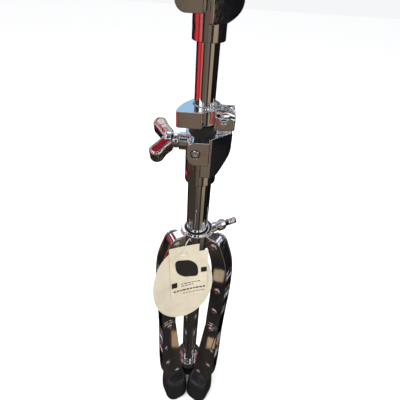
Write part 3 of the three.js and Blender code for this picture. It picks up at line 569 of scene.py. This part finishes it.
def build_world():
    """Pale surroundings for the eye and for matt surfaces, and a dim room for reflections."""
    world = bpy.data.worlds.new("studio")
    world.use_nodes = True
    bpy.context.scene.world = world
    g = Graph(world.node_tree)
    direction = g.node("ShaderNodeTexCoord").outputs["Generated"]
    parts = g.node("ShaderNodeSeparateXYZ", None, {0: direction})
    x, y, z = (Value(g, parts.outputs[i]) for i in range(3))
    turn = g.value("ShaderNodeMath", {"operation": "ARCTAN2"}, {0: y, 1: x}) * (180 / math.pi)
    azimuth = turn + (1 - g.ease(turn, -0.01, 0.01)) * 360
    drop = g.value("ShaderNodeMath", {"operation": "ARCSINE"}, {0: z}) * (-180 / math.pi)
    wobble = (g.noise(direction, 3.0, 4) - 0.5) * 10

    deep = g.ease(drop, 33, 44)
    dusk = g.ease(drop, 29, 36)
    blotch = g.ease(g.noise(direction, 9.0, 5, 0.6), 0.4, 0.65)
    colour = g.mix(blotch, (0.003, 0.004, 0.008), (0.020, 0.018, 0.018))
    for start, end, soft, tint in ROOM_BANDS:
        red = tint[0] > 3 * tint[1]
        strength = g.band(azimuth + wobble * 0.3, start, end, soft)
        faded = strength * (1 - dusk) if red else strength * (1 - deep * 0.45)
        colour = g.mix(faded, colour, tint)
    olive = g.band(azimuth, 150, 235, 8) * dusk
    colour = g.mix(olive, colour, (0.05, 0.042, 0.03))
    bottom = g.ease(drop, 44, 51)
    shaded = g.mix(blotch, (0.013, 0.013, 0.016), (0.042, 0.036, 0.027))
    colour = g.mix(bottom * 0.93, colour, shaded)

    # the rugs show in the flat faces of the legs and struts
    unsteady = azimuth + wobble * 0.05
    for left, right, near, far, tint in RUGS:
        rug = g.band(unsteady, left, right, 0.15) * g.band(drop, near, far, 0.12)
        colour = g.mix(rug, colour, tint)

    # above: a ceiling with lamps, a striped shelf high up, and a window with a blue pane at its left
    above = g.ease(drop * -1, 6, 16)
    lamp = g.ease(g.noise(direction, 4.2, 2), 0.50, 0.56)
    ceiling = g.mix(lamp, (0.045, 0.045, 0.05), (1.5, 1.5, 1.55))
    slats = g.ease(g.noise(g.stretched(direction, 3, 9, 3), 3.0, 1), 0.54, 0.58)
    beams = g.ease(g.noise(g.stretched(direction, 9, 3, 3), 2.2, 1), 0.52, 0.56)
    shelf = g.mix(slats, g.mix(beams, (0.30, 0.012, 0.02), (0.035, 0.03, 0.025)), (0.85, 0.83, 0.82))
    ceiling = g.mix(g.band(azimuth, 60, 175, 6) * g.ease(drop * -1, 46, 52), ceiling, shelf)
    streaks = g.ease(g.noise(g.stretched(direction, 5, 5, 34), 5.0, 2), 0.53, 0.57)
    frames = g.mix(streaks, (0.012, 0.014, 0.018), (0.85, 0.9, 0.95))
    frames = g.mix(g.band(azimuth, 91.2, 125, 0.6), frames, (0.40, 0.65, 0.92))
    ceiling = g.mix(g.band(azimuth, 60, 125, 4) * g.band(drop * -1, 16, 37, 3), ceiling, frames)
    colour = g.mix(above, colour, ceiling)
    glint = g.band(azimuth, 84, 96, 2) * (1 - above)
    colour = g.mix(glint * 0.6, colour, (0.9, 0.9, 0.95))

    reflections = g.node("ShaderNodeBackground", None, {"Color": colour, "Strength": 1.0})
    pale = g.node("ShaderNodeBackground", None, {"Color": (0.985, 0.99, 1.0, 1), "Strength": 0.93})
    glossy = g.node("ShaderNodeLightPath").outputs["Is Glossy Ray"]
    shown = g.node("ShaderNodeMixShader", None, {0: glossy, 1: pale.outputs[0], 2: reflections.outputs[0]})
    g.node("ShaderNodeOutputWorld", None, {"Surface": shown.outputs[0]})


def build_stage():
    build_camera()
    build_floor()
    build_world()
    bpy.context.scene.view_settings.view_transform = "Standard"
    add_area("key", (-0.9, -0.7, 1.6), (0, 0, 0.3), 0.9, 26)
    add_area("fill", (0.8, -1.3, 1.0), (0, 0, 0.3), 1.2, 7)
    add_area("rim", (0.5, 1.2, 1.4), (0, 0, 0.4), 0.8, 7)


# ---- tubes, bushings, rod ----


def build_tube(node, wall):
    """Open tube with rolled ends."""
    radius, bottom, top = lathed_from_box(node)
    inner = radius - wall
    profile = [(inner, bottom), (radius, bottom), (radius, top), (inner, top)]
    dress(turned(f"{node}_steel", profile, looped=True, edge=0.35), "chrome", node)


def build_bushing(node, inner, sleeve, neck_radius, neck_from):
    """Clamp bushing: a sleeve inside the tube and a neck above it, with a groove near the top."""
    _, bottom, top = lathed_from_box(node)
    profile = [
        (inner, bottom), (sleeve, bottom), (sleeve, neck_from), (neck_radius, neck_from),
        (neck_radius, top - 2.2), (neck_radius - 0.9, top - 2.2), (neck_radius - 0.9, top - 1.2),
        (neck_radius - 0.3, top), (inner, top),
    ]
    dress(turned(f"{node}_nylon", profile, looped=True, edge=0.2), "nylon", node)


def build_tubes():
    build_tube("base_tube", BASE_WALL)
    build_tube("middle_tube", TUBE_WALL)
    build_tube("upper_tube", TUBE_WALL)
    radius, bottom, top = lathed_from_box("center_rod")
    profile = [(0, bottom), (radius, bottom), (radius, top - 1), (radius - 0.9, top), (0, top)]
    dress(turned("center_rod_steel", profile, 48, edge=0.25), "chrome", "center_rod")


def build_nylon_parts():
    base, _, base_top = lathed_from_box("base_tube")
    middle, _, middle_top = lathed_from_box("middle_tube")
    upper = lathed_from_box("upper_tube")[0]
    build_bushing(
        "lower_clamp_bushing", middle + FIT_GAP, base - (BASE_WALL + FIT_GAP), base - SLEEVE_INSET,
        base_top + FIT_GAP,
    )
    build_bushing(
        "upper_clamp_bushing", upper + 0.2, middle - (TUBE_WALL + FIT_GAP), middle - SLEEVE_INSET,
        middle_top + FIT_GAP,
    )
    radius, bottom, top = lathed_from_box("leg_collar_bushing")
    profile = [(radius - 1, bottom), (radius, bottom), (radius, top), (radius - 1, top)]
    dress(turned("leg_collar_bushing_nylon", profile, looped=True, edge=0.2), "nylon", "leg_collar_bushing")
    radius, bottom, top = lathed_from_box("base_tube_cap")
    plug = radius - 1.8
    profile = [
        (0, bottom), (radius - 1.2, bottom), (radius, bottom + 1.2), (radius, bottom + 4),
        (plug, bottom + 4), (plug, top - 1), (plug - 1, top), (0, top),
    ]
    dress(turned("base_tube_cap_nylon", profile, edge=0.2), "nylon", "base_tube_cap")


# ---- legs ----


def smooth_line(points, steps):
    """Points along a smooth line through [x, z, width] points."""
    stops = [Vector(p) for p in points]
    chain = [stops[0] * 2 - stops[1], *stops, stops[-1] * 2 - stops[-2]]
    line = []
    for p0, p1, p2, p3 in zip(chain, chain[1:], chain[2:], chain[3:]):
        t1 = (p1 - p0).length ** 0.5
        t2 = t1 + (p2 - p1).length ** 0.5
        t3 = t2 + (p3 - p2).length ** 0.5
        for k in range(steps):
            t = t1 + (t2 - t1) * k / steps
            a1 = p0.lerp(p1, t / t1)
            a2 = p1.lerp(p2, (t - t1) / (t2 - t1))
            a3 = p2.lerp(p3, (t - t2) / (t3 - t2))
            b1 = a1.lerp(a2, t / t2)
            b2 = a2.lerp(a3, (t - t1) / (t3 - t1))
            line.append(b1.lerp(b2, (t - t1) / (t2 - t1)))
    return [*line, stops[-1]]


LEG_LINE = smooth_line([
    (HINGE_RADIUS, COLLAR_PIN_Z, 20), (HINGE_RADIUS + ARM_REACH * 0.68, COLLAR_PIN_Z - 25, 21),
    (RIVET_RADIUS, COLLAR_PIN_Z - 62.5, 21), (RIVET_RADIUS, RIVET_Z, 22), (RIVET_RADIUS + 3, 10, 20),
    (FOOT_RADIUS + 7, -28, 19), (FOOT_RADIUS + 2, -62, 19),
], 14)
STRUT_LINE = [
    Vector((HINGE_RADIUS, STRUT_PIN_Z, STRUT_WIDTH)),
    Vector((RIVET_RADIUS, RIVET_Z, STRUT_WIDTH)),
]


def strip_outline(line, end_steps=16):
    """Outline of a strip along [x, z, width] points, with round ends."""
    left = []
    right = []
    runs = []
    for i, p in enumerate(line):
        ahead = line[min(i + 1, len(line) - 1)]
        behind = line[max(i - 1, 0)]
        run = Vector((ahead.x - behind.x, ahead.y - behind.y)).normalized()
        half = p.z / 2
        left.append((p.x - run.y * half, p.y + run.x * half))
        right.append((p.x + run.y * half, p.y - run.x * half))
        runs.append(run)

    def round_end(p, run, sign):
        start = math.atan2(run.x * sign, -run.y * sign)
        turns = [start - math.pi * i / end_steps for i in range(1, end_steps)]
        return [(p.x + p.z / 2 * math.cos(a), p.y + p.z / 2 * math.sin(a)) for a in turns]

    return left + round_end(line[-1], runs[-1], 1) + right[::-1] + round_end(line[0], runs[0], -1)


def dome_profile(reach):
    """Half of a riveted pin, from its middle to a domed head with a small dimple."""
    top = reach + PIN_HEAD_HEIGHT
    head = PIN_HEAD_RADIUS
    return [
        (PIN_RADIUS, 0), (PIN_RADIUS, reach), (head, reach), (head, reach + 0.5),
        (head * 0.93, top - 0.75), (head * 0.75, top - 0.25), (head * 0.5, top),
        (head * 0.32, top), (head * 0.22, top - 0.5), (0, top - 0.6),
    ]


def pin_bmesh(reach, barrel=None):
    """Pin along Y with a domed head at each end, and a thicker barrel between the strips if given."""
    half = dome_profile(reach)[1:]
    stem = [(PIN_RADIUS, -reach), (PIN_RADIUS, reach)]
    if barrel:
        radius, length = barrel
        stem = [
            (PIN_RADIUS, -reach), (PIN_RADIUS, -length), (radius, -length),
            (radius, length), (PIN_RADIUS, length), (PIN_RADIUS, reach),
        ]
    profile = [(r, -z) for r, z in reversed(half[1:])] + stem + half[1:]
    bm = turned_bmesh(profile, 40)
    bmesh.ops.rotate(bm, verts=bm.verts, matrix=Matrix.Rotation(math.pi / 2, 3, "X"))
    return bm


def at_leg(bm, side, x, z):
    """Moves a bmesh out to a place on one leg."""
    bmesh.ops.translate(bm, verts=bm.verts, vec=(x * MM, 0, z * MM))
    bm.transform(turned_to(LEG_AZIMUTHS[side]))
    return bm


def build_strips(side, kind, outline, outer):
    """The two strips of a leg or a strut."""
    inner = outer - STRIP_THICKNESS
    for letter, y0, y1 in (("a", inner, outer), ("b", -outer, -inner)):
        bm = plate_bmesh(outline, y0, y1)
        bm.transform(turned_to(LEG_AZIMUTHS[side]))
        strip = rounded(make_object(f"{kind}_{side}_plate_{letter}", bm, 30), 0.55)
        dress(strip, "strip_chrome", f"{kind}_{side}_strip_{letter}")


def build_leg(side):
    leg_reach = LEG_HALF_THICKNESS + HEAD_GAP
    strut_outer = LEG_HALF_THICKNESS + SIDE_GAP + STRIP_THICKNESS
    strut_reach = strut_outer + HEAD_GAP
    build_strips(side, "leg", strip_outline(LEG_LINE), LEG_HALF_THICKNESS)
    build_strips(side, "strut", strip_outline(STRUT_LINE), strut_outer)
    barrel = (SPACER_RADIUS, LEG_HALF_THICKNESS - STRIP_THICKNESS - HEAD_GAP)
    pins = (
        (f"leg_{side}_top_pin", leg_reach, HINGE_RADIUS, COLLAR_PIN_Z, None),
        (f"leg_{side}_rivet", strut_reach, RIVET_RADIUS, RIVET_Z, None),
        (f"strut_{side}_pin", strut_reach, HINGE_RADIUS, STRUT_PIN_Z, None),
        (f"leg_{side}_spacer", leg_reach, RIVET_RADIUS, COLLAR_PIN_Z - 80, barrel),
    )
    for node, reach, x, z, sleeve in pins:
        bm = at_leg(pin_bmesh(reach, sleeve), side, x, z)
        dress(make_object(f"{node}_steel", bm, 50), "chrome", node)
    for x, z in MORE_SPACERS:
        bm = at_leg(pin_bmesh(leg_reach, barrel), side, x, z)
        dress(make_object(f"leg_{side}_spacer_at_{z}", bm, 50), "chrome", body=f"leg_{side}")
    build_foot(side)


def build_foot(side):
    """Rubber foot: the node's shape, softened, slimmer at the top, with grooves near the floor."""
    azimuth = math.radians(LEG_AZIMUTHS[side])
    outward = np.array((math.cos(azimuth), math.sin(azimuth), 0))
    centre = outward * FOOT_RADIUS

    def shape(mesh):
        points = mesh_points(mesh)
        height = points[:, 2] - FOOT_BOTTOM
        flat = points - centre
        flat[:, 2] = 0
        taper = 1.05 - 0.13 * np.clip((height - 22) / 54, 0, 1) ** 1.4
        grooves = sum(np.exp(-((height - z) / 0.9) ** 2) for z in (9, 13.5, 18))
        scale = taper - 0.018 * grooves
        points[:, 0] = centre[0] + flat[:, 0] * scale
        points[:, 1] = centre[1] + flat[:, 1] * scale
        set_points(mesh, points)

    casting(f"leg_{side}_foot", "rubber", voxel=0.9, passes=12, crease=70, shape=shape)


# ---- castings ----


def round_z(node, radius, tolerance=0.3):
    """Cylinder about the tube axis over a node's whole height."""
    low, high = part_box(node)
    return ((0, 0, 0), (0, 0, 1), radius, low.z / MM - 1, high.z / MM + 1, tolerance)


def sleeved(node, bore, wall, voxel, passes, shape=None):
    """Casting round a tube, with its bore and its sleeve drawn truly round."""
    rounds = (round_z(node, bore), round_z(node, bore + wall, 0.2))
    casting(node, "cast_chrome", voxel=voxel, passes=passes, rounds=rounds, shape=shape)


def dimple(azimuth, z, radius, depth):
    """Presses a dimple into a round sleeve."""
    turn = math.radians(azimuth)

    def press(mesh):
        points = mesh_points(mesh)
        spot = np.array((radius * math.cos(turn), radius * math.sin(turn), z))
        near = np.exp(-(np.linalg.norm(points - spot, axis=1) / 3.2) ** 4)
        outside = np.hypot(points[:, 0], points[:, 1]) > radius - 1
        near = near * outside * depth
        points[:, 0] -= math.cos(turn) * near
        points[:, 1] -= math.sin(turn) * near
        set_points(mesh, points)

    return press


def build_clamps():
    bore = lathed_from_box("base_tube")[0] + FIT_GAP
    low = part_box("lower_clamp_casting")[0].z / MM
    press = dimple(-150, low + 12, bore + LOWER_CLAMP_WALL, 1.3)
    sleeved("lower_clamp_casting", bore, LOWER_CLAMP_WALL, 0.5, 6, press)
    bore = lathed_from_box("middle_tube")[0] + FIT_GAP
    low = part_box("upper_clamp_casting")[0].z / MM
    press = dimple(-160, low + 9, bore + UPPER_CLAMP_WALL, 1.1)
    sleeved("upper_clamp_casting", bore, UPPER_CLAMP_WALL, 0.5, 6, press)


def crown(mesh):
    """Rolls the top of the lower lock's gate down to its front and outer edges."""
    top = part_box("lower_lock_gate")[1].z / MM
    points = mesh_points(mesh)
    forward = np.clip((-9 - points[:, 1]) / 12, 0, 1)
    outward = np.clip((points[:, 0] - 13) / 15, 0, 1) * np.clip((4 - points[:, 1]) / 8, 0, 1)
    share = np.clip((points[:, 2] - top + 9) / 9, 0, 1)
    points[:, 2] -= share * (3.4 * forward ** 2 + 2.4 * outward ** 2)
    set_points(mesh, points)


def build_locks():
    """The memory locks, and the seat's holder above them."""
    bore = lathed_from_box("middle_tube")[0] + FIT_GAP
    sleeved("lower_lock_body", bore, LOCK_WALL, 0.4, 4)
    sleeved("lower_lock_gate", bore, LOCK_WALL, 0.4, 4, crown)
    bore = lathed_from_box("upper_tube")[0] + FIT_GAP
    sleeved("upper_lock", bore, LOCK_WALL, 0.4, 4)
    rounds = (round_z("seat_holder", bore + SEAT_HOLDER_WALL, 0.2),)
    casting("seat_holder", "cast_chrome", voxel=0.4, passes=4, rounds=rounds)


def build_collars():
    tube = lathed_from_box("base_tube")[0]
    play, wall = COLLAR_BUSHING
    sleeved("leg_collar", tube + play + wall, COLLAR_WALL, 0.5, 5)
    sleeved("strut_collar", tube + FIT_GAP, STRUT_COLLAR_WALL, 0.5, 5)


def fuller(start, outward):
    """Swells the part of a wing bolt that stands out of its casting."""

    def swell(mesh):
        normals = np.empty(len(mesh.vertices) * 3)
        mesh.vertices.foreach_get("normal", normals)
        points = mesh_points(mesh)
        share = np.clip((points[:, 0] - start) * outward / 2, 0, 1)
        set_points(mesh, points + normals.reshape(-1, 3) * share[:, None] * 1.5)

    return swell


def build_bolts():
    """The wing bolts, and the small bolts and screws."""
    shaft = 0.42  # share of a wing bolt's length that sits in its casting
    for node, outward in (
        ("lower_clamp_wing_bolt", -1), ("upper_clamp_wing_bolt", -1), ("leg_collar_wing_bolt", 1),
    ):
        near, far = (corner.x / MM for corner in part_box(node))
        start = near + shaft * (far - near) if outward > 0 else far - shaft * (far - near)
        casting(node, "cast_chrome", voxel=0.4, passes=26, shape=fuller(start, outward))
    casting("clutch_wing_screw", "cast_chrome", voxel=0.3, passes=6)
    for node in ("lower_clamp_screw", "lower_lock_bolt", "upper_lock_bolt"):
        casting(node, "chrome", voxel=0.22, passes=3)


# ---- seat, felts and clutch ----


def build_seat_cup():
    radius, low, high = lathed_from_box("seat_cup")
    hole = 6.4
    profile = [
        (hole, low), (10.9, low), (12.9, low + 4), (radius - 4, low + 4), (radius, low + 6),
        (radius, high), (radius - 2, high), (radius - 2, high - 2), (hole, high - 2),
    ]
    dress(turned("seat_cup_casting", profile, looped=True, edge=0.6), "cast_chrome", "seat_cup")


def build_felts():
    """Felt rings with round outer edges."""
    for node, hole in (("seat_felt", 6.4), ("clutch_lower_felt", 5.9), ("clutch_upper_felt", 5.9)):
        radius, low, high = lathed_from_box(node)
        profile = [(hole, low + 0.3), (hole + 0.5, low)]
        profile += [
            (radius - 2 + 2 * math.sin(a), (low + 2 if a < math.pi / 2 else high - 2) - 2 * math.cos(a))
            for a in [math.pi * i / 16 for i in range(17)]
        ]
        profile += [(hole + 0.5, high), (hole, high - 0.3)]
        dress(turned(f"{node}_wool", profile, looped=True), "felt", node)


def knurled_bmesh(profile, looped):
    """Turned piece whose marked rows carry a coarse knurl: (radius, height, marked)."""
    bm = turned_bmesh([(r, z) for r, z, _ in profile], 120, looped)
    marked = {round(z * MM, 7): r * MM for r, z, mark in profile if mark}
    for vert in bm.verts:
        radius = math.hypot(vert.co.x, vert.co.y)
        if round(vert.co.z, 7) in marked and abs(radius - marked[round(vert.co.z, 7)]) < 1e-5:
            turn = math.atan2(vert.co.y, vert.co.x)
            factor = 1 - 0.045 * (0.5 + 0.5 * math.cos(turn * 30))
            vert.co.x *= factor
            vert.co.y *= factor
    return bm


def build_clutch():
    radius, low, high = lathed_from_box("clutch_body")
    bore = 3.5
    stem = 5.5
    flange = low + 34
    profile = [
        (bore, low), (stem, low), (stem, flange), (radius, flange), (radius, flange + 3),
        (10, flange + 6), (10, high - 1), (9, high), (bore, high),
    ]
    dress(turned("clutch_body_steel", profile, looped=True, edge=0.35), "chrome", "clutch_body")
    radius, low, high = lathed_from_box("clutch_nut")
    bore = 5.9
    bm = knurled_bmesh([
        (bore, low, 0), (radius - 1, low, 0), (radius, low + 1, 1), (radius, high - 1, 1),
        (radius - 1, high, 0), (bore, high, 0),
    ], True)
    dress(make_object("clutch_nut_steel", bm, 30), "chrome", "clutch_nut")


def build_tilt_screw():
    near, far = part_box("tilt_screw")
    low, high = near.z / MM, far.z / MM
    bm = knurled_bmesh([
        (0, low, 0), (6, low, 0), (7, low + 1, 1), (7, low + 8, 1), (6, low + 9, 0), (3, low + 9, 0),
        (3, high, 0), (0, high, 0),
    ], False)
    bmesh.ops.translate(bm, verts=bm.verts, vec=((near.x + far.x) / 2, 0, 0))
    dress(make_object("tilt_screw_steel", bm, 30), "chrome", "tilt_screw")


# ---- hang tags ----

CARD_TOP = 8
CARD_BOTTOM = -76
CARD_LEFT = -17
CARD_RIGHT = 28
CARD_STEP = 17.5
OVAL_CENTRE = (-2, -58)
OVAL_HALF = (37, 63)
PAPER = 0.45
OVAL_PLANE = 0.1  # where each sheet's front lies, back from the hinge
CARD_PLANE = -0.75
PRINT_PLANE = -0.82
BLOT = (3, -27)  # middle of the printed lozenge


def tag_matrix():
    """Hangs what is built about the origin from the tags' hinge."""
    place = Matrix.Translation(Vector(TAG_HINGE) * MM)
    yaw = Matrix.Rotation(math.radians(TAG_YAW), 4, "Z")
    lean = Matrix.Rotation(math.radians(-TAG_LEAN), 4, "X")
    return place @ yaw @ lean


def curl(x, z):
    """How far the paper bows forward of its plane, in millimetres."""
    return -0.0022 * (x + 2) ** 2 + 0.9 * math.sin((z + 20) / 26)


def sheet_bmesh(outline, centre, y, rings=9):
    """A thin bowed sheet of paper inside a closed outline, as rings about its centre."""
    bm = bmesh.new()

    def layer(depth):
        middle = bm.verts.new((centre[0] * MM, (y + depth + curl(*centre)) * MM, centre[1] * MM))
        rows = [[middle] * len(outline)]
        for ring in range(1, rings + 1):
            share = ring / rings
            row = []
            for px, pz in outline:
                x = centre[0] + (px - centre[0]) * share
                z = centre[1] + (pz - centre[1]) * share
                row.append(bm.verts.new((x * MM, (y + depth + curl(x, z)) * MM, z * MM)))
            rows.append(row)
        for inner, outer in zip(rows, rows[1:]):
            for i in range(len(outline)):
                k = (i + 1) % len(outline)
                corners = [inner[i], outer[i], outer[k], inner[k]]
                bm.faces.new(corners if inner[i] is not inner[k] else corners[:3])
        return rows[-1]

    front = layer(0)
    back = layer(PAPER)
    for i in range(len(outline)):
        k = (i + 1) % len(outline)
        bm.faces.new((front[i], front[k], back[k], back[i]))
    return bm


def subdivided(corners, step=3.0):
    """Points along a closed outline, no further apart than about step."""
    points = []
    for (x0, z0), (x1, z1) in zip(corners, corners[1:] + corners[:1]):
        count = max(1, int(math.dist((x0, z0), (x1, z1)) / step))
        points += [(x0 + (x1 - x0) * i / count, z0 + (z1 - z0) * i / count) for i in range(count)]
    return points


def build_tag_piece(name, outline, centre, y, finish, node=None, rings=9):
    """A sheet or a printed mark, left out of reflections."""
    bm = sheet_bmesh(outline, centre, y, rings)
    bm.transform(tag_matrix())
    piece = dress(make_object(name, bm, 50), finish, node, body="tags")
    piece.visible_glossy = False


def mark(name, x, z, width, height):
    """A printed bar or block on the card."""
    half_w, half_h = width / 2, height / 2
    corners = [(-half_w, -half_h), (half_w, -half_h), (half_w, half_h), (-half_w, half_h)]
    outline = subdivided([(x + cx, z + cz) for cx, cz in corners], 4.0)
    build_tag_piece(name, outline, (x, z), PRINT_PLANE, "ink", rings=2)


def build_sheets():
    steps = 96
    oval = [
        (OVAL_CENTRE[0] + OVAL_HALF[0] * math.cos(2 * math.pi * i / steps),
         OVAL_CENTRE[1] + OVAL_HALF[1] * math.sin(2 * math.pi * i / steps))
        for i in range(steps)
    ]
    build_tag_piece("hang_tag_oval_paper", oval, OVAL_CENTRE, OVAL_PLANE, "oval_paper", "hang_tag_oval")
    shoulder = -3
    card = subdivided([
        (CARD_LEFT, CARD_TOP), (CARD_LEFT, CARD_BOTTOM), (CARD_RIGHT, CARD_BOTTOM), (CARD_RIGHT, shoulder),
        (CARD_STEP, shoulder), (CARD_STEP, CARD_TOP),
    ])
    build_tag_piece("hang_tag_card_paper", card, (5, -34), CARD_PLANE, "paper", "hang_tag_card")


def build_printing():
    """One bold lozenge, two blocks and rows of bars, none of them lettering."""
    x, z = BLOT
    lozenge = [
        (x + 13.5 * math.copysign(abs(math.cos(a)) ** 0.7, math.cos(a)) - 2 * math.sin(a),
         z + 14 * math.copysign(abs(math.sin(a)) ** 0.7, math.sin(a)) - 5 * math.cos(a))
        for a in [2 * math.pi * i / 48 for i in range(48)]
    ]
    build_tag_piece("hang_tag_print_lozenge", lozenge, BLOT, PRINT_PLANE, "ink", rings=4)
    mark("hang_tag_print_block_left", -12.5, -52, 7, 9)
    mark("hang_tag_print_block_right", 23.5, -33, 7, 8)
    rows = ((-52, 1.3, -4, 16), (-56, 1.2, -4, 12), (-63.5, 2.4, -14, 26), (-70, 1.1, -2, 24))
    for row, (z, height, start, end) in enumerate(rows):
        x = start
        count = 0
        while x < end:
            width = 2.2 + 1.6 * ((count * 7 + row * 3) % 4) / 3
            mark(f"hang_tag_print_{row}_{count}", x + width / 2, z, width, height)
            x += width + 1.1
            count += 1


def build_tie():
    """Elastic loop from the collar through the eyelets, with a toggle in front."""
    curve = bpy.data.curves.new("hang_tag_tie_curve", "CURVE")
    curve.dimensions = "3D"
    curve.bevel_depth = 0.6 * MM
    curve.bevel_resolution = 4
    curve.use_fill_caps = True
    spline = curve.splines.new("BEZIER")
    start = Vector((TAG_HINGE[0] + 6, -(lathed_from_box("leg_collar_bushing")[0] + 5.7), COLLAR_PIN_Z + 6))
    hinge = Vector(TAG_HINGE)
    route = [start, start + Vector((-1, -5, 9)), hinge + Vector((1, 6, 3)), hinge + Vector((0, -4.3, 0))]
    spline.bezier_points.add(len(route) - 1)
    for point, place in zip(spline.bezier_points, route):
        point.co = place * MM
        point.handle_left_type = point.handle_right_type = "AUTO"
    shaped = bpy.data.objects.new("hang_tag_tie_curve", curve)
    bpy.context.scene.collection.objects.link(shaped)
    bpy.context.view_layer.update()
    mesh = bpy.data.meshes.new_from_object(shaped.evaluated_get(bpy.context.evaluated_depsgraph_get()))
    bpy.data.objects.remove(shaped)
    tie = link_mesh("hang_tag_tie_cord", mesh, 60)
    dress(tie, "elastic", "hang_tag_tie")
    profile = [(0, -3.6), (0.5, -3.5), (0.75, -3), (0.75, 3), (0.5, 3.5), (0, 3.6)]
    bm = turned_bmesh(profile, 20)
    bmesh.ops.rotate(bm, verts=bm.verts, matrix=Matrix.Rotation(math.pi / 2, 3, "Y"))
    bmesh.ops.translate(bm, verts=bm.verts, vec=(hinge + Vector((0, -4.7, 0))) * MM)
    dress(make_object("hang_tag_toggle", bm, 50), "elastic", body="collar")


build_stage()
build_tubes()
build_nylon_parts()
for leg_side in LEG_AZIMUTHS:
    build_leg(leg_side)
build_clamps()
build_locks()
build_collars()
build_bolts()
build_seat_cup()
build_felts()
build_clutch()
build_tilt_screw()
build_sheets()
build_printing()
build_tie()
